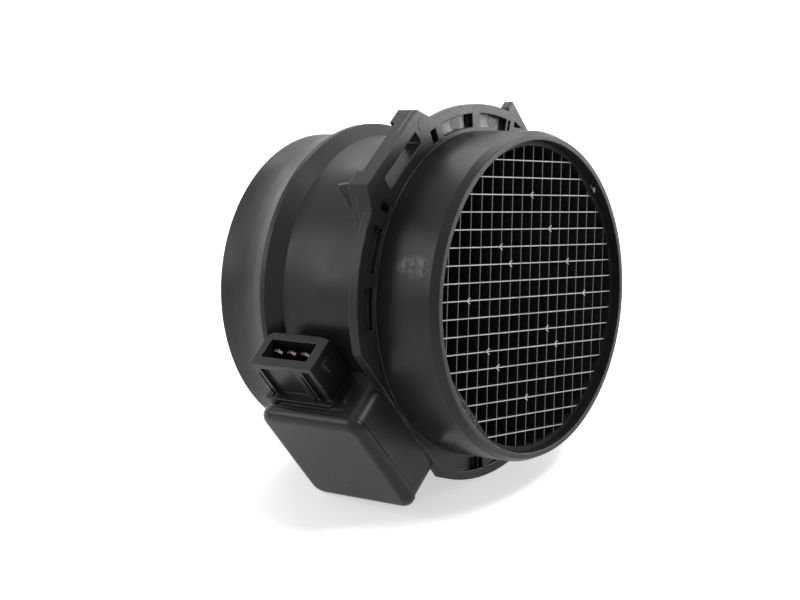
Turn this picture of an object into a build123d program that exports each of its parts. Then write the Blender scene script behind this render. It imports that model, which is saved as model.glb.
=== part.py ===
"""Mass airflow sensor for an engine intake.

A round moulded duct carries the air.  It has an egg-crate flow straightener at its
inlet, a clip-on flange, and an electronics box with a three-way plug socket moulded
on its side.  An arm reaches from the box into the duct and holds the hot-film element.

Frame: the origin is on the duct's axis at the flange's front face.  +Y is the way the
air flows, +Z is up and +X is to the right, seen from the inlet.  Millimetres.
"""
from build123d import *
from math import cos, radians, sin, sqrt
import os

# ---------------------------------------------------------------- driving dimensions
# duct
bore_radius = 39.2
duct_wall = 2.5
inlet_length = 18.9
outlet_length = 55.3
rim_land = 1.4
rim_chamfer_run = 2.2
rim_chamfer_drop = 1.0

# raised crest behind the duct's waist, and the hose spigot after it
crest_station = 35.9
crest_run = 3.7
crest_rise = 3.3
crest_land = 1.5
spigot_wall = 2.9
spigot_seat_length = 5.5
flare_steps = 3
spigot_lead = 0.7

# flow straightener
grille_recess = 2.3
grille_depth = 6.0
grille_step = 1.4
grille_clearance = 0.1
grille_pitch = 4.4
grille_bar = 0.4
grille_bar_recess = 0.3
grille_chords = {45: 1.1, 225: 2.2}
grille_root = 0.2
pin_angle = 45
pin_inset = 1.0
pin_radius = 0.8
pin_height = 0.8

# flange, with shallow pockets between its ribs and narrow slots through it
flange_width = 7.0
flange_thickness = 2.7
flange_rim = 2.4
flange_hub = 1.0
pocket_depth = 1.6
pocket_angles = [(78.3, 92.0), (98.1, 112.4), (156.9, 172.0), (176.0, 190.0), (260.0, 272.0)]
pocket_angles += [(start, start + 15.0) for start in (278.0, 297.0, 316.0, 335.0, 354.0)]
slot_skin = 0.6
slot_angles = [(74.8, 76.1), (77.0, 78.4), (96.0, 98.2), (272.2, 274.7)]

# latch ear: a trapezoid with a slot for the air box's spring clip
ear_angle = 135
ear_reach = 3.3
ear_tip_width = 26.8
ear_side_slope = 0.54
ear_thickness = 4.4
ear_gusset_depth = 6.2
ear_gusset_width = 4.7
ear_bar = 3.5
ear_fin_thickness = 0.8
ear_fin_depth = 10.0
latch_width = 3.7
latch_length = 16.7
latch_shift = 0.65
latch_corner = 0.5
ear_slots = {-17.8: 2.4, 15.6: 2.4}

# straight guide bar on the flange's other shoulder
guide_angle = 45
guide_inset = 4.3
guide_length = 53.8
guide_depth = 3.7
guide_horn_chamfer = 1.2
window_points = [(27.7, 48.2), (27.4, 46.6), (23.5, 47.7)]

# electronics box
box_angle = 225
box_inset = 6.4
box_front = 0.5
box_size = 33.8
box_shift = -4.5
box_rise = 12.0
box_wall = 2.2
box_corner = 4.2
floor_skin = 0.8
ledge_width = 1.2
ledge_rise = 4.3
lip_height = 0.7
lip_groove = 1.0
lip_groove_depth = 0.5
lip_groove_start = 7.0

# cover and its seal
cover_overhang = 0.3
cover_height = 3.3
cover_skin = 1.6
cover_edge = 1.5
seal_width = 0.9
seal_depth = 0.7

# plug socket
plug_setback = 11.6
plug_width = 20.8
plug_height = 10.7
plug_drop = 2.1
plug_reach = 12.6
plug_wall = 2.3
plug_front_wall = 3.0
plug_outer_wall = 2.5
plug_chamfer = 1.5
plug_front_cut = 3.0
plug_front_drop = 0.7
plug_corner = 0.6
socket_floor = 0.3
channel_front = 1.4
channel_back = 3.8
channel_inset = 1.5
panel_front = 6.8
panel_back = 18.1
panel_band = 1.7
panel_recess = 0.9
slot_front = 5.0
slot_back = 19.4
slot_width = 0.6
slot_drop = 3.5
foot_plate_thickness = 0.8
foot_plate_margin = 1.1
foot_plate_rise = 1.7
foot_plate_depth = 2.7
wall_rib_station = 7.8
wall_rib_width = 0.8
wall_rib_length = 4.0
wall_rib_rise = 0.7
wall_rib_drop = 3.9
lug_size = 3.0
lug_rise = 1.2
lug_drop = 2.2
lug_slant = 0.4
gusset_thickness = 1.6
gusset_inset = 5.0
gusset_taper = 2.0
gusset_drop = 2.2

# terminals
terminal_count = 3
terminal_pitch = 4.6
terminal_width = 3.0
terminal_thickness = 0.8
terminal_tip_depth = 0.6
terminal_tip_round = 0.9
terminal_foot = 2.4
terminal_foot_gap = 0.4

# electronics
plate_thickness = 1.2
plate_clearance = 0.3
plate_corner = 1.5
board_thickness = 0.8
board_margin = 1.4
chip_size = 8.0
chip_height = 1.6
chip_chamfer = 0.3
driver_size = 6.0
driver_height = 2.2
capacitor_size = 2.4
capacitor_length = 3.4
capacitor_height = 1.8
capacitor_inset = 5.2
board_edge_gap = 1.5
ribbon_width = 1.6
ribbon_thickness = 0.3
ribbon_lift = 1.0
ribbon_step = 0.9
ribbon_foot = 1.2
gel_depth = 2.9
window_margin = 3.0

# sensor arm and its elements
arm_thickness = 8.0
arm_chord = 16.0
arm_reach_past_axis = 5.0
arm_clearance = 0.2
arm_section_slot = 12.0
collar_margin = 2.0
collar_corner = 2.0
collar_thickness = 1.4
collar_clearance = 0.2
arm_seal_width = 1.2
arm_seal_depth = 1.0
boss_margin = 1.2
tip_cap = 2.5
channel_width = 5.0
channel_height = 11.0
element_thickness = 0.6
element_length = 5.0
element_seat = 1.0
element_spread = 3.4
lead_size = 0.5
lead_spread = 1.5
lead_stub = 0.6

# ---------------------------------------------------------------- derived sizes
seat_radius = bore_radius + grille_step
inlet_radius = seat_radius + rim_land + rim_chamfer_drop
waist_radius = bore_radius + duct_wall
crest_radius = waist_radius + crest_rise
spigot_radius = bore_radius + spigot_wall
grille_face = -inlet_length + grille_recess
grille_bars = int(2 * bore_radius / grille_pitch)
pin_distance = seat_radius - pin_inset
flange_radius = inlet_radius + flange_width
guide_distance = flange_radius - guide_inset
box_flat = flange_radius - box_inset
box_top = waist_radius + box_rise
ledge_level = waist_radius + ledge_rise
plug_level = waist_radius - plug_drop
plug_front = box_front + plug_setback
pocket_outer = flange_radius - flange_rim
pocket_inner = inlet_radius + flange_hub
ear_tip = flange_radius + ear_reach
latch_centre = ear_tip - ear_bar - latch_width / 2

box_back = box_front + box_size
box_middle = box_front + box_size / 2
box_low = box_shift - box_size / 2
box_high = box_shift + box_size / 2
plate_top = ledge_level + plate_thickness
board_top = plate_top + board_thickness
gel_level = board_top + gel_depth
socket_middle = plug_front + (plug_front_wall + plug_width - plug_wall) / 2
terminal_level = plug_level + (plug_wall + plug_height - plug_outer_wall) / 2
foot_level = board_top
foot_ledge = terminal_foot + terminal_foot_gap
chamber_high = box_high - box_wall - foot_ledge
collar_half = arm_thickness / 2 + collar_margin
arm_along = chamber_high - ledge_width - collar_clearance - collar_half
plug_mouth = box_high + plug_reach
plug_back = plug_front + plug_width
arm_seat_level = ledge_level - collar_thickness - collar_clearance
channel_floor = -arm_reach_past_axis + tip_cap
channel_roof = channel_floor + channel_height


# ---------------------------------------------------------------- working planes
def heading(angle):
    """Unit vector square to the duct's axis, at an angle from +X towards +Z."""
    return Vector(cos(radians(angle)), 0, sin(radians(angle)))


box_out = heading(box_angle)
box_along = heading(box_angle - 90)
box_plane = Plane(origin=(0, 0, 0), x_dir=box_along, z_dir=box_out)
plug_plane = Plane(origin=(0, 0, 0), x_dir=(0, 1, 0), z_dir=box_along)
side_plane = Plane(origin=(0, 0, 0), x_dir=box_along, z_dir=(0, -1, 0))


def across(sketch, start, end):
    """Extrude a sketch drawn square to the duct's axis, from one station to another."""
    return extrude(Plane.XZ.offset(-end) * sketch, amount=end - start)


def rounded(width, height, corner):
    """Rectangle with round corners, or with square ones where corner is zero."""
    if corner > 0:
        return RectangleRounded(width, height, corner)
    return Rectangle(width, height)


def bevelled(width, height, corner):
    """Rectangle with straight cuts that touch round corners of that radius."""
    return chamfer(Rectangle(width, height).vertices(), corner * (2 - sqrt(2)))


def outwards(low, high, front, back, start, end, corner=0.0, outline_of=rounded):
    """Block on the box's side: low to high along it, front to back, rising outwards."""
    outline = outline_of(high - low, back - front, corner)
    outline = Pos((low + high) / 2, (front + back) / 2) * outline
    return extrude(box_plane.offset(start) * outline, amount=end - start)


def alongside(front, back, inner, outer, start, end, corner=0.0):
    """Block that runs along the plug's own axis, from start to end."""
    outline = rounded(back - front, outer - inner, corner)
    outline = Pos((front + back) / 2, (inner + outer) / 2) * outline
    return extrude(plug_plane.offset(start) * outline, amount=end - start)


def side_profile(points, front, back):
    """Extrude an outline drawn in (along, outwards) between two stations."""
    return extrude(side_plane.offset(-back) * make_face(Polyline(*points, close=True)),
                   amount=back - front)


def ring_piece(start_angle, end_angle, inner, outer):
    """Piece of a flat ring between two angles, measured from +X towards +Z."""
    beyond = 2 * outer
    rim = [(beyond * cos(radians(angle)), beyond * sin(radians(angle)))
           for angle in (start_angle, end_angle)]
    sector = make_face(Polyline((0, 0), *rim, close=True))
    return (Circle(outer) - Circle(inner)) & sector


# ---------------------------------------------------------------- housing
def duct_body():
    """Outside of the tube: chamfered inlet, waist, raised crest and hose spigot."""
    spigot_start = outlet_length - spigot_seat_length
    crest_end = crest_station + crest_land
    inlet = Polyline(
        (0, outlet_length), (0, -inlet_length),
        (seat_radius + rim_land, -inlet_length),
        (inlet_radius, -inlet_length + rim_chamfer_run),
        (inlet_radius, flange_thickness),
        (waist_radius, flange_thickness),
        (waist_radius, crest_station - crest_run),
        (crest_radius, crest_station),
        (crest_radius, crest_end))
    curve = TangentArc((spigot_radius, spigot_start), (crest_radius, crest_end),
                       tangent=(0, -1))
    flare = Polyline(*[curve @ (step / flare_steps) for step in range(flare_steps + 1)])
    spigot = Polyline((spigot_radius, spigot_start),
                      (spigot_radius, outlet_length - spigot_lead),
                      (spigot_radius - spigot_lead, outlet_length),
                      (0, outlet_length))
    return revolve(make_face([inlet, flare, spigot]), Axis.Y)


def bore_space():
    """Air passage, with the wider seat of the flow straightener at its mouth."""
    bore = across(Circle(bore_radius), -inlet_length - 1, outlet_length + 1)
    seat = across(Circle(seat_radius), -inlet_length - 1, grille_face + grille_depth)
    return bore + seat


def flange_outline():
    """Round flange with the box's flat, the guide bar and the latch ear."""
    outline = Circle(flange_radius)
    beyond = 2 * flange_radius
    box_cut = Pos(box_flat + beyond / 2, 0) * Rectangle(beyond, beyond)
    guide_cut = Pos(guide_distance + beyond / 2, 0) * Rectangle(beyond, beyond)
    outline -= Rot(0, 0, box_angle) * box_cut
    outline -= Rot(0, 0, guide_angle) * guide_cut
    half = guide_length / 2
    low = guide_distance - guide_depth
    cut = guide_horn_chamfer
    corners = [(low, half - cut), (low + cut, half), (guide_distance, half),
               (guide_distance, -half), (low + cut, -half), (low, -half + cut)]
    return outline + Rot(0, 0, guide_angle) * make_face(Polyline(*corners, close=True))


def ear_outline():
    """Trapezoid ear, from inside the flange's rim out to its straight tip."""
    root = pocket_inner
    tip_half = ear_tip_width / 2
    root_half = tip_half + (ear_tip - root) * ear_side_slope
    corners = [(root, -root_half), (ear_tip, -tip_half), (ear_tip, tip_half), (root, root_half)]
    return Rot(0, 0, ear_angle) * make_face(Polyline(*corners, close=True))


def ear_gussets():
    """Deep ribs at the ear's two ends, which stiffen its straight bar."""
    tip_half = ear_tip_width / 2
    parts = []
    for side in (-1, 1):
        outer = side * tip_half
        inner = side * (tip_half - ear_gusset_width)
        slope = side * (ear_tip - waist_radius) * ear_side_slope
        corners = [(waist_radius - 1, inner), (ear_tip, inner), (ear_tip, outer),
                   (waist_radius - 1, outer + slope)]
        face = Rot(0, 0, ear_angle) * make_face(Polyline(*corners, close=True))
        parts.append(across(face, 0, ear_gusset_depth))
    return parts


def ear_fin():
    """Thin fin behind the ear's lower end, which braces it on the duct."""
    root = waist_radius - 2 * duct_wall
    corners = [(root, 0), (ear_tip, 0), (ear_tip, ear_gusset_depth),
               (ear_tip - ear_fin_thickness, ear_fin_depth), (root, ear_fin_depth)]
    side = Plane(origin=(0, 0, 0), x_dir=heading(ear_angle), z_dir=heading(ear_angle + 90))
    face = side.offset(ear_tip_width / 2 - ear_fin_thickness) * make_face(
        Polyline(*corners, close=True))
    return extrude(face, amount=ear_fin_thickness)


def flange_pockets():
    """Shallow pockets between the flange's rim and its hub, parted by radial ribs."""
    return [across(ring_piece(start, end, pocket_inner, pocket_outer), -1, pocket_depth)
            for start, end in pocket_angles]


def flange_slots():
    """Narrow blind slots beside the flange's ribs, and slots right through beside the ear."""
    floor = flange_thickness - slot_skin
    parts = [across(ring_piece(start, end, pocket_inner, pocket_outer), -1, floor)
             for start, end in slot_angles]
    length = pocket_outer - pocket_inner
    middle = (pocket_outer + pocket_inner) / 2
    for offset, width in ear_slots.items():
        turned = Rot(0, 0, ear_angle + offset) * (Pos(middle, 0) * Rectangle(length, width))
        parts.append(across(turned, -1, ear_gusset_depth + 1))
    return parts


def guide_windows():
    """Small three-cornered windows at the two ends of the guide bar."""
    parts = []
    for side in (-1, 1):
        corners = [(radius * cos(radians(guide_angle + side * offset)),
                    radius * sin(radians(guide_angle + side * offset)))
                   for offset, radius in window_points]
        parts.append(across(make_face(Polyline(*corners, close=True)), -1, flange_thickness + 1))
    return parts


def latch_slot():
    """Slot that the air box's spring clip hooks into."""
    slot = Pos(latch_centre, -latch_shift)
    slot *= RectangleRounded(latch_width, latch_length, latch_corner)
    return across(Rot(0, 0, ear_angle) * slot, -1, ear_thickness + 1)


def box_block():
    """Outside of the electronics box, rising out of the duct's wall."""
    inside = bore_radius - 4
    return outwards(box_low, box_high, box_front, box_back, inside, box_top, box_corner)


def box_space():
    """Inside of the box: a chamber for the board, over a well down to the duct's skin."""
    low = box_low + box_wall
    high = box_high - box_wall
    front = box_front + box_wall
    back = box_back - box_wall
    corner = box_corner - box_wall
    chamber = outwards(low, chamber_high, front, back, ledge_level, box_top + 1, corner,
                       bevelled)
    upper = outwards(low, high, front, back, foot_level, box_top + 1, corner, bevelled)
    well = outwards(low + ledge_width, chamber_high - ledge_width, front + ledge_width,
                    back - ledge_width, bore_radius, ledge_level + 1)
    skin = across(Circle(waist_radius + floor_skin), box_front - 1, box_back + 1)
    return chamber + upper + (well - skin)


def arm_boss():
    """Flat pad in the well that the sensor arm's collar is seated on."""
    half_width = collar_half + boss_margin
    half_length = arm_chord / 2 + collar_margin + boss_margin
    return outwards(arm_along - half_width, arm_along + half_width, box_middle - half_length,
                    box_middle + half_length, bore_radius - 2, arm_seat_level)


def seal_groove():
    """Groove in the box's end face for the cover's seal, which fills it."""
    inset = (box_wall - seal_width) / 2
    return seal_ring(inset, box_top - seal_depth, box_top)


def seal_ring(inset, start, end):
    """Ring that follows the middle of the box's wall."""
    outer = outwards(box_low + inset, box_high - inset, box_front + inset, box_back - inset,
                     start, end, box_corner - inset, bevelled)
    inset += seal_width
    inner = outwards(box_low + inset, box_high - inset, box_front + inset, box_back - inset,
                     start - 1, end + 1, box_corner - inset, bevelled)
    return outer - inner


def lip_space():
    """Groove under the lip that the cover sits on, on the plug's side of the box."""
    return alongside(box_front + lip_groove_start, box_back - box_corner,
                     box_top - lip_height - lip_groove, box_top - lip_height,
                     box_high - lip_groove_depth, box_high + 1)


def wall_rib():
    """Small rib on the box's wall, in front of the plug socket."""
    front = box_front + wall_rib_station - wall_rib_width / 2
    high = box_top - wall_rib_drop
    return alongside(front, front + wall_rib_width, high - wall_rib_length, high,
                     box_high - wall_rib_width, box_high + wall_rib_rise)


def plug_section():
    """Outline of the plug socket: its two corners next to the duct are cut off."""
    high = plug_level + plug_height
    corners = [(plug_front + plug_front_cut, plug_level),
               (plug_front, plug_level + plug_front_drop), (plug_front, high),
               (plug_back - plug_corner, high), (plug_back, high - plug_corner),
               (plug_back, plug_level + plug_chamfer),
               (plug_back - plug_chamfer, plug_level)]
    return make_face(Polyline(*corners, close=True))


def plug_shroud():
    """Outside of the plug socket, standing on a thin foot plate on the box's wall."""
    start = box_high - box_wall - 1
    high = plug_level + plug_height
    shroud = extrude(plug_plane.offset(start) * plug_section(), amount=plug_mouth - start)
    foot = alongside(plug_front - foot_plate_margin, plug_back + foot_plate_margin,
                     high + foot_plate_rise - foot_plate_depth, high + foot_plate_rise, start,
                     box_high + foot_plate_thickness, plug_corner)
    return shroud + foot


def plug_socket():
    """Inside of the plug socket, down to the box's wall."""
    return alongside(plug_front + plug_front_wall, plug_back - plug_wall,
                     plug_level + plug_wall, plug_level + plug_height - plug_outer_wall,
                     box_high - socket_floor, plug_mouth + 1, plug_corner)


def panel_recesses():
    """Channel, recessed panel and two narrow slots in the socket's outer face."""
    face = plug_level + plug_height
    low = box_high + foot_plate_thickness
    parts = [alongside(plug_front + channel_front, plug_front + channel_back,
                       face - panel_recess, face + 1, low, plug_mouth - channel_inset),
             alongside(plug_front + panel_front, plug_front + panel_back,
                       face - panel_recess, face + 1, low, plug_mouth - panel_band)]
    for place in (slot_front, slot_back):
        parts.append(alongside(plug_front + place - slot_width / 2,
                               plug_front + place + slot_width / 2, face - panel_recess,
                               face + 1, box_high, plug_mouth - slot_drop))
    return parts


def plug_lugs():
    """Catches on the socket's two narrow sides, which the mating plug snaps over."""
    middle = plug_level + plug_height / 2
    top = plug_mouth - lug_drop
    parts = []
    for face, side in ((plug_front, -1), (plug_back, 1)):
        lug = side_lug(face, side, top - lug_size, top)
        parts.append(extrude(box_plane.offset(middle - lug_size / 2) * lug, amount=lug_size))
    return parts


def side_lug(face, side, low, high):
    """Wedge outline of one catch, drawn in (along, station)."""
    corners = [(low, face), (high, face), (high, face + side * lug_rise * lug_slant),
               (low, face + side * lug_rise)]
    return make_face(Polyline(*corners, close=True))


def plug_gusset():
    """Web between the duct's waist and the back of the socket."""
    root = waist_radius - duct_wall / 2
    reach = plug_mouth - gusset_inset
    corners = [(box_high - 1, plug_level + 1), (reach, plug_level + 1),
               (reach - gusset_taper, plug_level + 1 - gusset_drop),
               (box_high - 1, sqrt(root ** 2 - box_high ** 2))]
    return side_profile(corners, socket_middle - gusset_thickness / 2,
                        socket_middle + gusset_thickness / 2)


def housing():
    """One moulding: duct, flange, ears, box and plug socket."""
    body = duct_body()
    body += across(flange_outline(), 0, flange_thickness)
    body += across(ear_outline(), 0, ear_thickness)
    body += ear_gussets()
    body += ear_fin()
    body += box_block()
    body += plug_shroud()
    body += plug_lugs()
    body += plug_gusset()
    body += wall_rib()
    body -= box_space()
    body += arm_boss()
    body -= bore_space()
    body -= flange_pockets()
    body -= flange_slots()
    body -= guide_windows()
    body -= latch_slot()
    body -= lip_space()
    body -= seal_groove()
    body -= plug_socket()
    body -= panel_recesses()
    body -= arm_opening()
    body -= arm_seal()
    for number in range(terminal_count):
        body -= terminal(number)
    return body


def arm_opening():
    """Opening in the duct's wall that the sensor arm passes through."""
    shape = arm_section(arm_clearance)
    start = bore_radius - arm_section_slot / 2
    return extrude(box_plane.offset(start) * shape, amount=arm_section_slot)


# ---------------------------------------------------------------- flow straightener
def inlet_grille():
    """Ring with square cells, made in one piece, and two flat segments in its ring."""
    ring = Circle(seat_radius - grille_clearance) - Circle(bore_radius)
    for angle, height in grille_chords.items():
        beyond = bore_radius
        cut = Pos(bore_radius - height - beyond / 2, 0) * Rectangle(beyond, 2 * beyond)
        segment = Circle(bore_radius + grille_root) - Rot(0, 0, angle) * cut
        behind = Rot(0, 0, angle) * (Pos(-beyond, 0) * Rectangle(2 * beyond, 3 * beyond))
        ring += segment - behind
    frame = across(ring, grille_face, grille_face + grille_depth)
    pin = Rot(0, 0, pin_angle) * (Pos(pin_distance, 0) * RegularPolygon(pin_radius, 8))
    return frame + grille_bars_solid() + across(pin, grille_face - pin_height, grille_face + 1)


def grille_bars_solid():
    """Crossing bars, cut out of one disc as rows of square cells."""
    cell = grille_pitch - grille_bar
    disc = Circle(bore_radius + grille_root)
    centres = [(column - grille_bars / 2) * grille_pitch for column in range(grille_bars + 1)]
    cells = [Pos(x, z) * Rectangle(cell, cell) for x in centres for z in centres
             if sqrt(max(abs(x) - cell / 2, 0) ** 2 + max(abs(z) - cell / 2, 0) ** 2) < bore_radius]
    start = grille_face + grille_bar_recess
    return across(disc - cells, start, grille_face + grille_depth)


# ---------------------------------------------------------------- box cover and seal
def electronics_cover():
    """Square cap with bevelled edges, hollow underneath."""
    low = box_low - cover_overhang
    high = box_high + cover_overhang
    front = box_front - cover_overhang
    back = box_back + cover_overhang
    cap = outwards(low, high, front, back, box_top, box_top + cover_height, box_corner)
    top_edges = cap.faces().sort_by(Axis((0, 0, 0), box_out))[-1].edges()
    cap = chamfer(top_edges, cover_edge)
    hollow = outwards(box_low + box_wall, box_high - box_wall, box_front + box_wall,
                      box_back - box_wall, box_top, box_top + cover_height - cover_skin,
                      box_corner - box_wall, bevelled)
    return cap - hollow


def cover_seal():
    """Bead of sealant that fills the groove in the box's wall."""
    return seal_groove()


# ---------------------------------------------------------------- terminals
def terminal_station(number):
    """Station of a terminal's middle."""
    return socket_middle + (number - (terminal_count - 1) / 2) * terminal_pitch


def terminal(number):
    """Stamped blade with a round tip and a step, moulded in between socket and box."""
    middle = terminal_station(number)
    half = terminal_thickness / 2
    tip = plug_mouth - terminal_tip_depth
    bend = box_high - box_wall / 2
    foot_end = box_high - box_wall - terminal_foot
    foot_low = foot_level
    foot_high = foot_level + terminal_thickness
    corners = [(tip, terminal_level - half), (tip, terminal_level + half),
               (bend + half, terminal_level + half), (bend + half, foot_high),
               (foot_end, foot_high), (foot_end, foot_low),
               (bend - half, foot_low), (bend - half, terminal_level - half)]
    blade = side_profile(corners, middle - terminal_width / 2, middle + terminal_width / 2)
    tip_edges = blade.faces().sort_by(Axis((0, 0, 0), box_along))[-1].edges()
    return chamfer(tip_edges.filter_by(Axis((0, 0, 0), box_out)), terminal_tip_round)


def bond_ribbon(number):
    """Thin bent ribbon that joins a terminal's foot to the board."""
    middle = terminal_station(number)
    thin = ribbon_thickness
    foot = foot_level + terminal_thickness
    over = foot + ribbon_lift
    outer = box_high - box_wall - ribbon_foot
    inner = box_high - box_wall - terminal_foot + thin
    high = board_right() - 2 * thin
    low = board_right() - ribbon_foot
    landed = low - ribbon_foot
    corners = [(outer, foot), (outer, foot + thin), (inner, foot + thin),
               (inner - ribbon_step, over + thin), (high, over + thin),
               (low, board_top + thin), (landed, board_top + thin),
               (landed, board_top), (low + thin / 2, board_top),
               (high + thin / 2, over), (inner - ribbon_step + thin / 2, over), (inner, foot)]
    return side_profile(corners, middle - ribbon_width / 2, middle + ribbon_width / 2)


# ---------------------------------------------------------------- electronics
def plate_bounds():
    """Edges of the metal plate: low, high, front and back."""
    gap = box_wall + plate_clearance
    return (box_low + gap, chamber_high - plate_clearance, box_front + gap, box_back - gap)


def board_right():
    """Edge of the board next to the terminals."""
    return plate_bounds()[1] - board_margin


def base_plate():
    """Metal plate that carries the board, open over the arm's leads."""
    low, high, front, back = plate_bounds()
    plate = outwards(low, high, front, back, ledge_level, plate_top, plate_corner,
                     bevelled)
    window = outwards(arm_along - lead_spread, arm_along + lead_spread,
                      box_middle - element_spread - window_margin,
                      box_middle + element_spread + window_margin, ledge_level - 1,
                      plate_top + 1)
    return plate - window


def circuit_board():
    """Ceramic board glued to the plate, pierced by the four leads."""
    low, high, front, back = plate_bounds()
    board = outwards(low + board_margin, high - board_margin, front + board_margin,
                     back - board_margin, plate_top, board_top)
    return board - element_leads()


def on_board(along, station, size_along, size_station, height):
    """Block that stands on the board, centred at a place in the box."""
    return outwards(along - size_along / 2, along + size_along / 2,
                    station - size_station / 2, station + size_station / 2,
                    board_top, board_top + height)


def control_chip():
    """Signal processor in a square package with a chamfered top edge."""
    low, high, front, back = plate_bounds()
    along = low + board_margin + board_edge_gap + chip_size / 2
    chip = on_board(along, box_middle - chip_size / 2 - board_edge_gap, chip_size, chip_size,
                    chip_height)
    top = chip.faces().sort_by(Axis((0, 0, 0), box_out))[-1]
    return chamfer(top.edges(), chip_chamfer)


def driver_transistor():
    """Transistor that feeds the hot film."""
    low, high, front, back = plate_bounds()
    along = low + board_margin + board_edge_gap + driver_size / 2
    return on_board(along, box_middle + driver_size, driver_size, driver_size, driver_height)


def capacitor(number):
    """Chip capacitor beside the leads."""
    apart = 2 * (element_spread + lead_spread + capacitor_size)
    station = box_middle + (number - 1 / 2) * apart
    return on_board(board_right() - capacitor_inset - capacitor_size / 2, station,
                    capacitor_size, capacitor_length, capacitor_height)


def potting_gel():
    """Clear gel poured over the board and the terminals' feet."""
    low = box_low + box_wall
    front = box_front + box_wall
    back = box_back - box_wall
    pool = outwards(low, box_high - box_wall, front, back, board_top, gel_level,
                    box_corner - box_wall, bevelled)
    for piece in electronics_on_top():
        pool -= piece
    return pool


def electronics_on_top():
    """Everything that stands in the gel."""
    pieces = [control_chip(), driver_transistor()] + element_leads()
    pieces += [capacitor(number) for number in range(2)]
    pieces += [terminal(number) for number in range(terminal_count)]
    pieces += [bond_ribbon(number) for number in range(terminal_count)]
    return pieces


# ---------------------------------------------------------------- sensor arm
def arm_section(margin=0.0):
    """Section of the arm: round-nosed, with its chord along the flow."""
    outline = SlotOverall(arm_chord + 2 * margin, arm_thickness + 2 * margin)
    return Pos(arm_along, box_middle) * Rot(0, 0, 90) * outline


def sensor_arm():
    """Moulded arm with a collar at its root and a flow channel near its tip."""
    length = arm_seat_level + arm_reach_past_axis
    arm = extrude(box_plane.offset(-arm_reach_past_axis) * arm_section(), amount=length)
    half_length = arm_chord / 2 + collar_margin
    arm += outwards(arm_along - collar_half, arm_along + collar_half, box_middle - half_length,
                    box_middle + half_length, arm_seat_level,
                    arm_seat_level + collar_thickness, collar_corner, bevelled)
    arm -= outwards(arm_along - channel_width / 2, arm_along + channel_width / 2,
                    box_middle - arm_chord, box_middle + arm_chord, channel_floor, channel_roof)
    for station in element_stations():
        arm -= element(station)
    return arm - element_leads()


def arm_seal():
    """Flat ring round the arm's neck, let into the boss under the collar."""
    ring = seal_outline(2 * arm_clearance + arm_seal_width) - seal_outline(2 * arm_clearance)
    return extrude(box_plane.offset(arm_seat_level - arm_seal_depth) * ring,
                   amount=arm_seal_depth)


def seal_outline(margin):
    """Outline that stands a margin off the arm all round."""
    width = arm_thickness + 2 * margin
    outline = bevelled(width, arm_chord + 2 * margin, width / 2 - 0.01)
    return Pos(arm_along, box_middle) * outline


def element_stations():
    """Stations of the temperature element and the hot-film element."""
    return (box_middle - element_spread, box_middle + element_spread)


def element(station):
    """Glass chip that stands across the flow channel, seated in it at both ends."""
    return outwards(arm_along - element_thickness / 2, arm_along + element_thickness / 2,
                    station - element_length / 2, station + element_length / 2,
                    channel_floor - element_seat, channel_roof + element_seat)


def lead_places():
    """Stations of the four leads: two for each element."""
    return [station + side * lead_spread for station in element_stations() for side in (-1, 1)]


def element_lead(place):
    """Straight lead, from an element up through the arm to the board."""
    half = lead_size / 2
    return outwards(arm_along - half, arm_along + half, place - half, place + half,
                    channel_roof + element_seat, board_top + lead_stub)


def element_leads():
    """All four leads."""
    return [element_lead(place) for place in lead_places()]


# ---------------------------------------------------------------- every piece
def all_pieces():
    """Each piece's name and its maker."""
    temperature_station, film_station = element_stations()
    pieces = {
        "housing": housing(),
        "inlet_grille": inlet_grille(),
        "electronics_cover": electronics_cover(),
        "cover_seal": cover_seal(),
        "base_plate": base_plate(),
        "circuit_board": circuit_board(),
        "control_chip": control_chip(),
        "driver_transistor": driver_transistor(),
        "potting_gel": potting_gel(),
        "sensor_arm": sensor_arm(),
        "arm_seal": arm_seal(),
        "hot_film_element": element(film_station),
        "temperature_element": element(temperature_station),
    }
    for number, lead in enumerate(element_leads()):
        pieces[f"element_lead_{number + 1}"] = lead
    for number in range(2):
        pieces[f"capacitor_{number + 1}"] = capacitor(number)
    for number in range(terminal_count):
        pieces[f"terminal_{number + 1}"] = terminal(number)
        pieces[f"bond_ribbon_{number + 1}"] = bond_ribbon(number)
    return pieces


os.makedirs("parts", exist_ok=True)
for name, shape in all_pieces().items():
    export_step(shape, f"parts/{name}.step")
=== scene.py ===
"""Mass airflow sensor: a black moulded duct with a flow straightener and an electronics box."""
import math

import bmesh
import bpy
from mathutils import Matrix, Vector


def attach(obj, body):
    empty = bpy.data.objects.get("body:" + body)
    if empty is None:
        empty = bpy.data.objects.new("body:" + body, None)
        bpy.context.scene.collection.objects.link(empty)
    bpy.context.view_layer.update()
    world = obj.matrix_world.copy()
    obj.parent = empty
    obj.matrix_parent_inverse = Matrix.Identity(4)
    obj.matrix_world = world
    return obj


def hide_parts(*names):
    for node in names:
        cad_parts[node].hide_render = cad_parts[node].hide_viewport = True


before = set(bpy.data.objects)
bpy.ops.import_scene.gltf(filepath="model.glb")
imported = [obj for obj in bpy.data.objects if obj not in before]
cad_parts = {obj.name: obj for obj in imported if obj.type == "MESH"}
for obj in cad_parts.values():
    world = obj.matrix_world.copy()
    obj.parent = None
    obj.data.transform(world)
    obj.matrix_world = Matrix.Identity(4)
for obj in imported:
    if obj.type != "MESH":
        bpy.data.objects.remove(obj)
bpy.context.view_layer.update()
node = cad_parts


# ------------------------------------------------------------------ housing
# The duct, flange, ears, box and plug socket are one moulding in black glass-filled
# nylon.  The skin is satin, with a fine, even grain and hair scratches, and the inlet
# tube carries a pale scuff.
housing_black = (0.013, 0.0125, 0.0128)
housing_roughness = (0.27, 0.42)
housing_grain = 2600.0
moulded_edge = 0.0004
flange_front = 0.0
pocket_floor = 0.0016
level_tolerance = 0.00008
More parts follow.
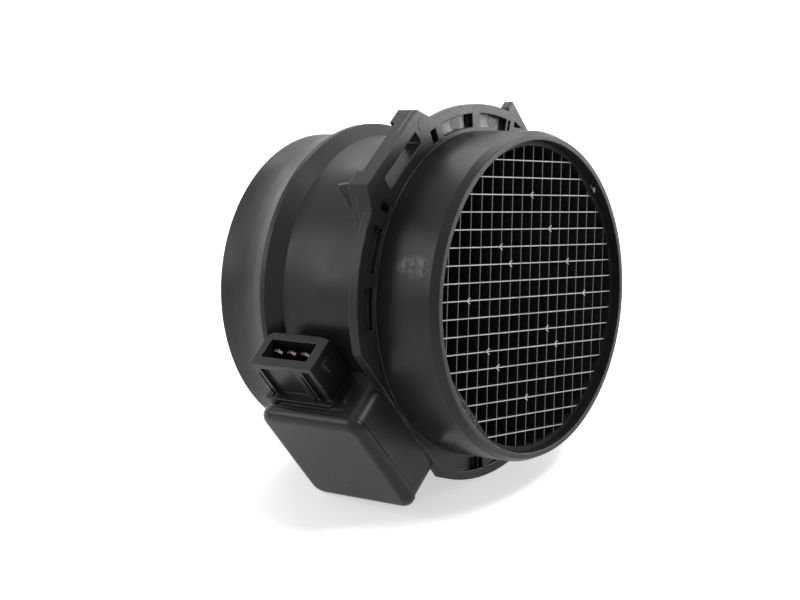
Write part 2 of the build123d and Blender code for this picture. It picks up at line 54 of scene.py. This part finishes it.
pocket_heights = (0.0405, 0.0425)
pocket_pale = 0.85
pocket_grey = (0.32, 0.32, 0.315)
face_heights = (0.036, 0.047)
face_pale = 0.5
face_grey = (0.17, 0.17, 0.167)
flare_stations = (0.0398, 0.0412, 0.0505, 0.0520)
flare_rounding = 0.0045
flare_samples = 8
tube_scuff_centre = (-0.04214, -0.0111, 0.00855)
tube_scuff_radii = (0.006, 0.0056, 0.0032)
scuff_streak = (0.002, 0.0009, 0.005)
scuff_grey = (0.42, 0.42, 0.41)
scratch_stretch = (0.012, 0.0005, 0.03)
scratch_grey = (0.11, 0.11, 0.11)


def start_finish(name, specular=0.5, metallic=0.0):
    """New material, with its shader's constants set on the shader."""
    material = bpy.data.materials.new(name)
    material.use_nodes = True
    shader = material.node_tree.nodes["Principled BSDF"]
    shader.inputs["Specular IOR Level"].default_value = specular
    shader.inputs["Metallic"].default_value = metallic
    place = material.node_tree.nodes.new("ShaderNodeTexCoord")
    place.name = "place"
    return material, shader


def placed(material, centre=(0, 0, 0), radii=(1, 1, 1), turn=(0, 0, 0)):
    """Object coordinates, moved and stretched so that a patch is a unit ball."""
    links = material.node_tree.links
    shift = material.node_tree.nodes.new("ShaderNodeMapping")
    shift.vector_type = "TEXTURE"
    shift.inputs["Location"].default_value = centre
    shift.inputs["Rotation"].default_value = turn
    shift.inputs["Scale"].default_value = radii
    links.new(material.node_tree.nodes["place"].outputs["Object"], shift.inputs["Vector"])
    return shift.outputs["Vector"]


def noise(material, scale, detail=3.0, rough=0.5, where=None):
    """Cloudy value on Object coordinates."""
    texture = material.node_tree.nodes.new("ShaderNodeTexNoise")
    texture.inputs["Scale"].default_value = scale
    texture.inputs["Detail"].default_value = detail
    texture.inputs["Roughness"].default_value = rough
    if where is None:
        where = material.node_tree.nodes["place"].outputs["Object"]
    material.node_tree.links.new(where, texture.inputs["Vector"])
    return texture.outputs["Fac"]


def band(material, value, low, high, to_low=0.0, to_high=1.0):
    """Value brought from one range to another."""
    ranged = material.node_tree.nodes.new("ShaderNodeMapRange")
    ranged.inputs["From Min"].default_value = low
    ranged.inputs["From Max"].default_value = high
    ranged.inputs["To Min"].default_value = to_low
    ranged.inputs["To Max"].default_value = to_high
    material.node_tree.links.new(value, ranged.inputs["Value"])
    return ranged.outputs["Result"]


def combine(material, first, second, how="MULTIPLY"):
    """Two values multiplied, or put together in another way."""
    sum_node = material.node_tree.nodes.new("ShaderNodeMath")
    sum_node.operation = how
    material.node_tree.links.new(first, sum_node.inputs[0])
    material.node_tree.links.new(second, sum_node.inputs[1])
    return sum_node.outputs["Value"]


def over(material, factor, under, colour):
    """A colour laid over another, as much as the factor says."""
    mixer = material.node_tree.nodes.new("ShaderNodeMix")
    mixer.data_type = "RGBA"
    links = material.node_tree.links
    for value, socket in ((under, "A"), (colour, "B")):
        if isinstance(value, tuple):
            mixer.inputs[socket].default_value = (*value[:3], 1)
        else:
            links.new(value, mixer.inputs[socket])
    links.new(factor, mixer.inputs["Factor"])
    return mixer.outputs["Result"]


def level_with(material, value, level, tolerance):
    """One where a value lies at a level, and nothing elsewhere."""
    level_node = material.node_tree.nodes.new("ShaderNodeMath")
    level_node.operation = "COMPARE"
    level_node.inputs[1].default_value = level
    level_node.inputs[2].default_value = tolerance
    material.node_tree.links.new(value, level_node.inputs[0])
    return level_node.outputs["Value"]


def patch(material, centre, radii, turn=(0, 0, 0)):
    """One in the middle of a place on the part, falling to nothing at its edge."""
    ball = material.node_tree.nodes.new("ShaderNodeTexGradient")
    ball.gradient_type = "SPHERICAL"
    material.node_tree.links.new(placed(material, centre, radii, turn), ball.inputs["Vector"])
    return ball.outputs["Fac"]


def soft_relief(material, shader, height, depth, edge):
    """Bump on edges that are rounded a little; gives back how far a spot is on an edge."""
    nodes = material.node_tree.nodes
    links = material.node_tree.links
    rounded = nodes.new("ShaderNodeBevel")
    rounded.samples = 4
    rounded.inputs["Radius"].default_value = edge
    bump = nodes.new("ShaderNodeBump")
    bump.inputs["Strength"].default_value = 0.6
    bump.inputs["Distance"].default_value = depth
    links.new(height, bump.inputs["Height"])
    links.new(rounded.outputs["Normal"], bump.inputs["Normal"])
    links.new(bump.outputs["Normal"], shader.inputs["Normal"])
    surface = nodes.new("ShaderNodeNewGeometry")
    facing = nodes.new("ShaderNodeVectorMath")
    facing.operation = "DOT_PRODUCT"
    links.new(rounded.outputs["Normal"], facing.inputs[0])
    links.new(surface.outputs["Normal"], facing.inputs[1])
    return band(material, facing.outputs["Value"], 0.995, 0.90)


def moulded_plastic(name, colour, roughness, grain, edge=moulded_edge, worn=0.6,
                    specular=0.20, depth=0.000012):
    """Satin plastic: fine grain, uneven gloss, mottled colour and rubbed edges."""
    material, shader = start_finish(name, specular)
    links = material.node_tree.links
    drift = band(material, noise(material, 60.0), 0.3, 0.7, *roughness)
    links.new(drift, shader.inputs["Roughness"])
    on_edge = soft_relief(material, shader, noise(material, grain, 2.0, 0.6), depth, edge)
    worn_here = band(material, noise(material, 220.0, 4.0, 0.7), 0.42, 0.68, 0.0, worn)
    rubbed = combine(material, on_edge, worn_here)
    mottled = over(material, noise(material, 400.0), tuple(c * 0.85 for c in colour),
                   tuple(c * 1.25 for c in colour))
    pale = tuple(min(c * 4 + 0.06, 1) for c in colour)
    painted = over(material, rubbed, mottled, pale)
    links.new(painted, shader.inputs["Base Color"])
    return material, shader, painted


def dress(name, material):
    """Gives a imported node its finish."""
    node[name].data.materials.clear()
    node[name].data.materials.append(material)


nylon, nylon_shader, nylon_colour = moulded_plastic(
    "housing_nylon", housing_black, housing_roughness, housing_grain)
# over the hose spigot's flare the surface is one smooth sweep
flare_place = nylon.node_tree.nodes.new("ShaderNodeSeparateXYZ")
nylon.node_tree.links.new(nylon.node_tree.nodes["place"].outputs["Object"],
                          flare_place.inputs["Vector"])
flare_start, flare_on, flare_off, flare_end = flare_stations
in_flare = combine(nylon, band(nylon, flare_place.outputs["Y"], flare_start, flare_on),
                   band(nylon, flare_place.outputs["Y"], flare_end, flare_off))
rounding = next(part for part in nylon.node_tree.nodes if part.type == "BEVEL")
rounding.samples = flare_samples
nylon.node_tree.links.new(band(nylon, in_flare, 0.0, 1.0, moulded_edge, flare_rounding),
                          rounding.inputs["Radius"])
# hair scratches run crosswise all over the moulding, and the scuff is a streaky rub
streaks = noise(nylon, 1.0, 4.0, 0.7, placed(nylon, radii=scuff_streak))
scuffed = combine(nylon, band(nylon, patch(nylon, tube_scuff_centre, tube_scuff_radii), 0.0, 0.5),
                  combine(nylon, band(nylon, streaks, 0.42, 0.66, 0.15, 0.5),
                          band(nylon, noise(nylon, 420.0, 4.0, 0.8), 0.42, 0.62)))
lines = noise(nylon, 1.0, 2.0, 0.5, placed(nylon, radii=scratch_stretch))
hair = combine(nylon, band(nylon, lines, 0.70, 0.76, 0.0, 0.10),
               band(nylon, noise(nylon, 45.0), 0.52, 0.66))
nylon_colour = over(nylon, hair, nylon_colour, scratch_grey)
nylon_colour = over(nylon, scuffed, nylon_colour, scuff_grey)
# pale colour on the flange's upper pockets and high face stands in for the bright
# surroundings that they reflect, so it stays pale under any light
on_floor = level_with(nylon, flare_place.outputs["Y"], pocket_floor, level_tolerance)
upper = band(nylon, flare_place.outputs["Z"], *pocket_heights, 0.0, pocket_pale)
pale_pockets = combine(nylon, combine(nylon, on_floor, upper),
                       band(nylon, noise(nylon, 350.0, 4.0, 0.7), 0.3, 0.6, 0.6, 1.0))
nylon_colour = over(nylon, pale_pockets, nylon_colour, pocket_grey)
on_face = level_with(nylon, flare_place.outputs["Y"], flange_front, level_tolerance)
high_face = band(nylon, flare_place.outputs["Z"], *face_heights, 0.0, face_pale)
pale_face = combine(nylon, combine(nylon, on_face, high_face),
                    band(nylon, noise(nylon, 500.0, 4.0, 0.7), 0.3, 0.65, 0.4, 1.0))
nylon_colour = over(nylon, pale_face, nylon_colour, face_grey)
nylon.node_tree.links.new(nylon_colour, nylon_shader.inputs["Base Color"])
dress("housing", nylon)

# ------------------------------------------------------------------ ejector marks
# The tool's ejector pins left flat round witnesses, 4 mm across, on the floors of the
# flange's upper pockets and on the slotted ear.  They are part of the housing moulding,
# a little glossier.
mark_radius = 0.002
mark_height = 0.00006
mark_edge = 0.0001
mark_roughness = (0.2, 0.3)
mark_black = (0.012, 0.014, 0.016)
flange_marks = ((0.0457, 103.0), (0.0462, 82.4))
ear_mark_distance = 0.0490
ear_marks = (0.0108, -0.0127)

witness_mesh = bpy.data.meshes.new("ejector_marks")
witness_shape = bmesh.new()
spots = [(reach * math.cos(math.radians(a)), pocket_floor,
          reach * math.sin(math.radians(a))) for reach, a in flange_marks]
slant = math.sqrt(0.5)
spots += [(-(ear_mark_distance + along) * slant, flange_front,
           (ear_mark_distance - along) * slant) for along in ear_marks]
for x, y, z in spots:
    lie = Matrix.Translation((x, y, z)) @ Matrix.Rotation(math.radians(90), 4, "X")
    bmesh.ops.create_cone(witness_shape, cap_ends=True, segments=32, radius1=mark_radius,
                          radius2=mark_radius, depth=2 * mark_height, matrix=lie)
bmesh.ops.recalc_face_normals(witness_shape, faces=witness_shape.faces)
witness_shape.to_mesh(witness_mesh)
witness_shape.free()
witness_marks = bpy.data.objects.new("ejector_marks", witness_mesh)
bpy.context.scene.collection.objects.link(witness_marks)
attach(witness_marks, "root")
witness_mesh.materials.append(moulded_plastic("witness_nylon", mark_black, mark_roughness,
                                              housing_grain, mark_edge)[0])

# ------------------------------------------------------------------ flow straightener
# A ring with square cells, moulded in one shot of the same nylon and pressed into the
# mouth.  The pale line down the bars' fronts, fainter on the upright ones, is colour
# that stands in for the glint of their smooth edges.
grille_black = (0.008, 0.008, 0.008)
grille_roughness = (0.5, 0.62)
grille_edge = 0.00015
bar_front = -0.0163
bar_front_band = 0.00012
bar_pale = (0.60, 0.60, 0.59)
glint = 0.0001
glint_fade = 0.00004
column_shine = 0.22
pin_centre = (0.0287, -0.0173, 0.0287)
pin_radii = (0.0018, 0.0018, 0.0018)
grille_pitch = 0.0044
rough_patch_centre = (-0.0268, -0.0166, -0.0279)
rough_patch_radii = (0.0095, 0.002, 0.0048)
rough_patch_turn = (0, math.radians(40), 0)
# pale grey for the rubbed patch low on the grille, and for the pin patch that also paints light
# over the pin's shadow
rub_and_light_grey = (0.30, 0.30, 0.29)

grille_nylon, grille_shader, grille_colour = moulded_plastic(
    "grille_nylon", grille_black, grille_roughness, housing_grain, grille_edge, 0.3, 0.10)
split = grille_nylon.node_tree.nodes.new("ShaderNodeSeparateXYZ")
grille_nylon.node_tree.links.new(grille_nylon.node_tree.nodes["place"].outputs["Object"],
                                 split.inputs["Vector"])
# painted glint: pale colour laid down the middle of the bars' front faces, stronger on the rows
# than on the upright bars
at_front = level_with(grille_nylon, split.outputs["Y"], bar_front, bar_front_band)
shine = band(grille_nylon, noise(grille_nylon, 130.0, 4.0, 0.7), 0.25, 0.75, 0.45, 1.0)
bar_front_glint = combine(grille_nylon, at_front, shine)


def along_bars(axis, shine):
    """Painted glint: a pale line down the middle of the bars that lie across one axis."""
    beside = grille_nylon.node_tree.nodes.new("ShaderNodeMath")
    beside.operation = "PINGPONG"
    beside.inputs[1].default_value = grille_pitch / 2
    grille_nylon.node_tree.links.new(split.outputs[axis], beside.inputs[0])
    return band(grille_nylon, beside.outputs["Value"], glint + glint_fade, glint, 0.0, shine)


on_bars = combine(grille_nylon, along_bars("Z", 1.0), along_bars("X", column_shine), "MAXIMUM")
bar_front_glint = combine(grille_nylon, bar_front_glint, on_bars)
grille_colour = over(grille_nylon, bar_front_glint, grille_colour, bar_pale)
crumbs = combine(grille_nylon,
                 band(grille_nylon, patch(grille_nylon, rough_patch_centre, rough_patch_radii,
                                          rough_patch_turn), 0.0, 0.5),
                 band(grille_nylon, noise(grille_nylon, 900.0, 4.0, 0.75), 0.5, 0.66, 0.0, 0.4))
grille_colour = over(grille_nylon, crumbs, grille_colour, rub_and_light_grey)
# pale patch over the pin and over the pin's own shadow beside it: the pin's pale top, and painted
# light where its shadow falls
pin_pale_and_painted_light = band(grille_nylon, patch(grille_nylon, pin_centre, pin_radii), 0.1, 0.3)
grille_colour = over(grille_nylon, pin_pale_and_painted_light, grille_colour, rub_and_light_grey)
grille_nylon.node_tree.links.new(grille_colour, grille_shader.inputs["Base Color"])
dress("inlet_grille", grille_nylon)

# ------------------------------------------------------------------ knots in the grille
# A few of the bars' crossings carry small pale forks that stand a little proud, most
# likely where the melt met itself in the tool.  They are part of the same moulding.
knot_places = [(8, 2), (10, 4), (5, 5), (6, 6), (12, 6), (2, 8), (14, 8), (10, 10), (4, 11),
               (11, 11), (5, 12), (8, 14)]
knot_arm = (0.0015, 0.0003, 0.00026)
knot_tip = 0.0009
knot_edge = 0.00006
knot_slope = 33
middle_cell = 8
knot_pale = (0.45, 0.45, 0.44)

knot_mesh = bpy.data.meshes.new("grille_knots")
knot_shape = bmesh.new()
for column, row in knot_places:
    x = (column - middle_cell) * grille_pitch
    z = (middle_cell - row) * grille_pitch
    for heading in (knot_slope, -knot_slope):
        size = Matrix.Diagonal((*knot_arm, 1))
        reach = Matrix.Translation((knot_arm[0] / 2, 0, 0))
        lie = Matrix.Rotation(math.radians(-heading), 4, "Y")
        here = Matrix.Translation((x - knot_tip, bar_front, z)) @ lie @ reach @ size
        bmesh.ops.create_cube(knot_shape, size=1.0, matrix=here)
bmesh.ops.bevel(knot_shape, geom=knot_shape.edges[:], offset=knot_edge, segments=2,
                profile=0.5, affect="EDGES", material=-1)
bmesh.ops.recalc_face_normals(knot_shape, faces=knot_shape.faces)
knot_shape.to_mesh(knot_mesh)
knot_shape.free()
grille_knots = bpy.data.objects.new("grille_knots", knot_mesh)
bpy.context.scene.collection.objects.link(grille_knots)
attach(grille_knots, "root")
knot_mesh.materials.append(moulded_plastic("knot_nylon", knot_pale, (0.4, 0.5),
                                           housing_grain, 0.0001)[0])

# ------------------------------------------------------------------ sensor arm
# The arm is its own moulding in the same black nylon, smoother than the housing.  It is
# pushed through the box's floor and a silicone ring seals its collar.
dress("sensor_arm", moulded_plastic("arm_nylon", (0.016, 0.016, 0.017), (0.3, 0.42),
                                    housing_grain)[0])


def silicone(name, colour):
    """Dull soft rubber with dust in its fine grain."""
    material, shader = start_finish(name, 0.35)
    links = material.node_tree.links
    links.new(band(material, noise(material, 180.0), 0.3, 0.7, 0.55, 0.75),
              shader.inputs["Roughness"])
    soft_relief(material, shader, noise(material, 1800.0, 3.0, 0.6), 0.00003, 0.0002)
    dust = band(material, noise(material, 700.0, 4.0, 0.7), 0.5, 0.8, 0.0, 0.35)
    links.new(over(material, dust, colour, tuple(min(c * 2 + 0.04, 1) for c in colour)),
              shader.inputs["Base Color"])
    return material


dress("arm_seal", silicone("arm_silicone", (0.20, 0.052, 0.03)))

# ------------------------------------------------------------------ elements and leads
# Two thin glass-covered platinum films stand in the arm's channel, one hot and one cold,
# each welded to a pair of square nickel leads that run up to the board.


def glazed_film(name, colour, film):
    """Glass over a ceramic chip, with the film's darker meander showing through."""
    material, shader = start_finish(name, 0.6)
    shader.inputs["Coat Weight"].default_value = 0.7
    shader.inputs["Coat Roughness"].default_value = 0.08
    links = material.node_tree.links
    wave = material.node_tree.nodes.new("ShaderNodeTexWave")
    wave.inputs["Scale"].default_value = 420.0
    wave.inputs["Distortion"].default_value = 1.5
    links.new(material.node_tree.nodes["place"].outputs["Object"], wave.inputs["Vector"])
    links.new(over(material, band(material, wave.outputs["Fac"], 0.45, 0.6), colour, film),
              shader.inputs["Base Color"])
    links.new(band(material, noise(material, 600.0), 0.3, 0.7, 0.12, 0.3),
              shader.inputs["Roughness"])
    soft_relief(material, shader, noise(material, 900.0), 0.00001, 0.0001)
    return material


def drawn_metal(name, colour, roughness, stretch, tarnish, tarnish_colour, edge=0.00012,
                edge_highlight_colour=(0.85, 0.84, 0.82)):
    """Metal with fine drawn lines and uneven tarnish; the pale colour on its edges is a painted
    highlight.
    """
    material, shader = start_finish(name, 0.5, 1.0)
    links = material.node_tree.links
    grain_lines = noise(material, 1.0, 3.0, 0.6, placed(material, (0, 0, 0), stretch,
                                                        (0, math.radians(45), 0)))
    links.new(band(material, grain_lines, 0.3, 0.7, *roughness), shader.inputs["Roughness"])
    bright = soft_relief(material, shader, grain_lines, 0.00001, edge)
    stained = band(material, noise(material, 320.0, 4.0, 0.65), 0.42, 0.72, 0.0, tarnish)
    base = over(material, stained, colour, tarnish_colour)
    # painted highlight: pale colour laid on the rounded edges
    shiny = band(material, bright, 0.0, 1.0, 0.0, 0.6)
    links.new(over(material, shiny, base, edge_highlight_colour), shader.inputs["Base Color"])
    return material


dress("hot_film_element", glazed_film("hot_film", (0.62, 0.64, 0.62), (0.16, 0.15, 0.13)))
dress("temperature_element", glazed_film("cold_film", (0.58, 0.62, 0.66), (0.2, 0.2, 0.22)))
lead_metal = drawn_metal("lead_nickel", (0.62, 0.60, 0.56), (0.22, 0.4), (0.0008, 0.0002, 0.01),
                         0.5, (0.34, 0.31, 0.26))
for name in ("element_lead_1", "element_lead_2", "element_lead_3", "element_lead_4"):
    dress(name, lead_metal)

# ------------------------------------------------------------------ plate and board
# A stamped aluminium plate is glued to the box's ledge, and a white ceramic board with
# fired-on silver tracks is glued to the plate.
dress("base_plate", drawn_metal("plate_aluminium", (0.72, 0.73, 0.74), (0.28, 0.46),
                                (0.0006, 0.02, 0.0006), 0.3, (0.5, 0.5, 0.5)))

ceramic, ceramic_shader = start_finish("board_ceramic", 0.5)
ceramic_links = ceramic.node_tree.links
tracks = ceramic.node_tree.nodes.new("ShaderNodeTexBrick")
tracks.inputs["Scale"].default_value = 260.0
tracks.inputs["Mortar Size"].default_value = 0.03
tracks.inputs["Color1"].default_value = (0, 0, 0, 1)
tracks.inputs["Color2"].default_value = (0, 0, 0, 1)
tracks.inputs["Mortar"].default_value = (1, 1, 1, 1)
board_place = placed(ceramic, (0, 0, 0), (1, 1, 1), (math.radians(90), math.radians(45), 0))
ceramic_links.new(board_place, tracks.inputs["Vector"])
fired = combine(ceramic, tracks.outputs["Color"],
                band(ceramic, noise(ceramic, 160.0, 1.0), 0.47, 0.5))
speckled = over(ceramic, noise(ceramic, 900.0, 4.0), (0.74, 0.73, 0.68), (0.83, 0.83, 0.79))
ceramic_links.new(over(ceramic, fired, speckled, (0.46, 0.45, 0.42)),
                  ceramic_shader.inputs["Base Color"])
ceramic_links.new(band(ceramic, noise(ceramic, 700.0), 0.3, 0.7, 0.38, 0.55),
                  ceramic_shader.inputs["Roughness"])
soft_relief(ceramic, ceramic_shader, noise(ceramic, 2400.0, 3.0), 0.00001, 0.0001)
dress("circuit_board", ceramic)

# ------------------------------------------------------------------ parts on the board
# The processor and the driver are moulded in black resin, and the two capacitors are
# tan ceramic blocks.  Soft aluminium ribbons join the terminals' feet to the board.
chip_resin = moulded_plastic("chip_resin", (0.024, 0.024, 0.026), (0.5, 0.66), 3600.0, 0.0001,
                             0.3)[0]
dress("control_chip", chip_resin)
dress("driver_transistor", chip_resin)
capacitor_tan = moulded_plastic("capacitor_ceramic", (0.35, 0.235, 0.13), (0.4, 0.56), 2200.0,
                                0.00015, 0.25)[0]
dress("capacitor_1", capacitor_tan)
dress("capacitor_2", capacitor_tan)
ribbon_metal = drawn_metal("ribbon_aluminium", (0.80, 0.80, 0.81), (0.24, 0.42),
                           (0.0006, 0.0002, 0.004), 0.2, (0.6, 0.6, 0.6))
for name in ("bond_ribbon_1", "bond_ribbon_2", "bond_ribbon_3"):
    dress(name, ribbon_metal)

# ------------------------------------------------------------------ potting gel
# Clear silicone gel is poured over the board and sets soft.  It is faintly yellow and
# holds a little dust and a few shallow ripples.
gel, gel_shader = start_finish("gel", 0.4)
gel_shader.inputs["Transmission Weight"].default_value = 0.95
gel_shader.inputs["IOR"].default_value = 1.41
gel_links = gel.node_tree.links
gel_links.new(over(gel, band(gel, noise(gel, 500.0, 4.0, 0.7), 0.62, 0.75, 0.0, 0.5),
                   (0.97, 0.95, 0.88), (0.75, 0.72, 0.62)), gel_shader.inputs["Base Color"])
gel_links.new(band(gel, noise(gel, 120.0), 0.3, 0.7, 0.04, 0.14), gel_shader.inputs["Roughness"])
soft_relief(gel, gel_shader, noise(gel, 90.0, 2.0), 0.00012, 0.0003)
dress("potting_gel", gel)

# ------------------------------------------------------------------ terminals
# Three bronze blades are moulded in between the socket and the box.  Their flanks are
# coloured a very dark brown with darker blotches, and the pale colour on their edges and
# rounded tips is a painted highlight.
blade_brown = (0.034, 0.023, 0.017)
blade_stain = (0.02, 0.010, 0.007)
blade_edge = 0.00012
# pale colour of the painted highlight on the blades' edges and tips
blade_edge_highlight = (0.42, 0.34, 0.26)

blade_bronze = drawn_metal("terminal_bronze", blade_brown, (0.2, 0.36),
                           (0.003, 0.0003, 0.003), 0.95, blade_stain, blade_edge,
                           blade_edge_highlight)
for name in ("terminal_1", "terminal_2", "terminal_3"):
    dress(name, blade_bronze)

# ------------------------------------------------------------------ electronics cover
# A square cap with soft edges, moulded in the box's nylon and bonded to its wall.  A
# thin dark joint shows all round under its rim, where the sealant sits.
cover_low, cover_high = -0.0217, 0.0127
cover_front, cover_back = 0.0002, 0.0346
cover_foot, cover_face = 0.0537, 0.0570
cover_corner = 0.0042
cover_edge = 0.0026
cover_foot_edge = 0.0003
level_gap = 0.0001
cover_rim = 0.0025
cover_skin = 0.0016

outward = Matrix(((-slant, 0, -slant), (0, 1, 0), (slant, 0, -slant))).to_4x4()
cover_mesh = bpy.data.meshes.new("cover_cap")
cover_shape = bmesh.new()
middle = ((cover_low + cover_high) / 2, (cover_front + cover_back) / 2,
          (cover_foot + cover_face) / 2)
sides = (cover_high - cover_low, cover_back - cover_front, cover_face - cover_foot)
bmesh.ops.create_cube(cover_shape, size=1.0,
                      matrix=Matrix.Translation(middle) @ Matrix.Diagonal((*sides, 1)))
upright = [edge for edge in cover_shape.edges
           if abs(edge.verts[0].co.z - edge.verts[1].co.z) > sides[2] / 2]
bmesh.ops.bevel(cover_shape, geom=upright, offset=cover_corner, segments=10, profile=0.5,
                affect="EDGES", material=-1)
face_rim = [edge for edge in cover_shape.edges
            if min(vert.co.z for vert in edge.verts) > cover_face - level_gap]
bmesh.ops.bevel(cover_shape, geom=face_rim, offset=cover_edge, segments=6, profile=0.5,
                affect="EDGES", material=-1)
foot_rim = [edge for edge in cover_shape.edges
            if max(vert.co.z for vert in edge.verts) < cover_foot + level_gap]
bmesh.ops.bevel(cover_shape, geom=foot_rim, offset=cover_foot_edge, segments=2, profile=0.5,
                affect="EDGES", material=-1)
underside = [face for face in cover_shape.faces if face.normal.z < -0.9
             and face.calc_area() > sides[0] * sides[1] / 2]
bmesh.ops.inset_region(cover_shape, faces=underside, thickness=cover_rim)
pushed = bmesh.ops.extrude_face_region(cover_shape, geom=underside)
raised = [part for part in pushed["geom"] if isinstance(part, bmesh.types.BMVert)]
bmesh.ops.translate(cover_shape, verts=raised, vec=(0, 0, sides[2] - cover_skin))
bmesh.ops.delete(cover_shape, geom=underside, context="FACES")
bmesh.ops.transform(cover_shape, matrix=outward, verts=cover_shape.verts)
bmesh.ops.recalc_face_normals(cover_shape, faces=cover_shape.faces)
for face in cover_shape.faces:
    face.smooth = face.calc_area() < sides[0] * sides[1] / 2
cover_shape.to_mesh(cover_mesh)
cover_shape.free()
cover_cap = bpy.data.objects.new("cover_cap", cover_mesh)
bpy.context.scene.collection.objects.link(cover_cap)
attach(cover_cap, "root")
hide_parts("electronics_cover")
cover_mesh.materials.append(moulded_plastic("cover_nylon", housing_black, (0.22, 0.32),
                                            housing_grain, 0.0002, 0.1)[0])
dress("cover_seal", silicone("seal_silicone", (0.02, 0.02, 0.021)))

# ------------------------------------------------------------------ floor and light
# The sensor lies on a white table: on its cover's back corner, the flange's rim and the
# hose spigot's crest.  The table is tilted to the duct's own axes, as the part leans.
floor_up = Vector((-0.2710, -0.1426, 0.9520)).normalized()
floor_height = -0.04987
floor_reach = 4.0
floor_white = (0.86, 0.86, 0.86, 1)
floor_glow = 0.55
world_light = 0.3
floor_mesh = bpy.data.meshes.new("table_top")
floor_shape = bmesh.new()
bmesh.ops.create_grid(floor_shape, x_segments=1, y_segments=1, size=floor_reach)
tilt = floor_up.to_track_quat("Z", "Y").to_matrix().to_4x4()
bmesh.ops.transform(floor_shape, matrix=Matrix.Translation(floor_up * floor_height) @ tilt,
                    verts=floor_shape.verts)
floor_shape.to_mesh(floor_mesh)
floor_shape.free()
floor = bpy.data.objects.new("table_top", floor_mesh)
bpy.context.scene.collection.objects.link(floor)

white = bpy.data.materials.new("table_white")
white.use_nodes = True
white_nodes = white.node_tree.nodes
white_links = white.node_tree.links
white_shader = white_nodes["Principled BSDF"]
white_shader.inputs["Base Color"].default_value = floor_white
white_shader.inputs["Roughness"].default_value = 0.6
glow = white_nodes.new("ShaderNodeEmission")
glow.inputs["Color"].default_value = (1, 1, 1, 1)
rays = white_nodes.new("ShaderNodeLightPath")


def shown_rays(ray_node, ray_owner):
    """One for the rays that show the background: camera, glossy and transmission."""
    shown = combine(ray_owner, ray_node.outputs["Is Camera Ray"],
                    ray_node.outputs["Is Glossy Ray"], "MAXIMUM")
    return combine(ray_owner, shown, ray_node.outputs["Is Transmission Ray"], "MAXIMUM")


white_links.new(band(white, shown_rays(rays, white), 0.0, 1.0, 0.0, floor_glow),
                glow.inputs["Strength"])
both = white_nodes.new("ShaderNodeAddShader")
white_links.new(white_shader.outputs["BSDF"], both.inputs[0])
white_links.new(glow.outputs["Emission"], both.inputs[1])
white_links.new(both.outputs["Shader"], white_nodes["Material Output"].inputs["Surface"])
floor_mesh.materials.append(white)

world = bpy.data.worlds.new("studio")
world.use_nodes = True
bpy.context.scene.world = world
backdrop = world.node_tree.nodes["Background"]
backdrop.inputs["Color"].default_value = (1, 1, 1, 1)
world_rays = world.node_tree.nodes.new("ShaderNodeLightPath")
world.node_tree.links.new(band(world, shown_rays(world_rays, world), 0.0, 1.0, world_light, 1.0),
                          backdrop.inputs["Strength"])


def softbox(name, place, aim, size, power):
    """Rectangular lamp aimed at a point."""
    lamp = bpy.data.lights.new(name, "AREA")
    lamp.shape = "RECTANGLE"
    lamp.size, lamp.size_y = size
    lamp.energy = power
    holder = bpy.data.objects.new(name, lamp)
    holder.location = place
    holder.rotation_euler = (Vector(aim) - Vector(place)).to_track_quat("-Z", "Y").to_euler()
    bpy.context.scene.collection.objects.link(holder)


softbox("overhead", (0.35, 0.35, 1.15), (0, 0, 0), (1.1, 0.9), 10)
softbox("left", (-0.88, 0.74, 0.36), (0, 0, 0), (0.35, 0.6), 3)
softbox("right", (0.90, -0.64, 0.28), (0, 0, 0), (0.5, 0.5), 8)
softbox("front", (-0.10, -0.66, 0.87), (0, 0, 0), (0.25, 0.25), 6)
softbox("rear", (-0.05, 1.00, 0.40), (0, 0, 0), (0.9, 0.6), 2)

# ------------------------------------------------------------------ camera
# The camera stands in front of the inlet and to its left, nearly level with the duct.
# It is set by its three axes and its place.
sensor_width = 36.0
lens_length = 73.67
camera_place = (-0.3523, -0.2566, 0.0291)

camera = bpy.data.cameras.new("camera")
camera.sensor_width = sensor_width
camera.lens = lens_length
camera.clip_start = 0.01
camera.clip_end = 20.0
camera_stand = bpy.data.objects.new("camera", camera)
right = Vector((0.62805, -0.77783, 0.02310))
up = Vector((0.04171, 0.06329, 0.99712))
back = Vector((-0.77705, -0.62528, 0.07219))
turn = Matrix((right, up, back)).transposed().to_4x4()
camera_stand.matrix_world = Matrix.Translation(camera_place) @ turn
bpy.context.scene.collection.objects.link(camera_stand)
bpy.context.scene.camera = camera_stand
bpy.context.scene.view_settings.view_transform = "Standard"
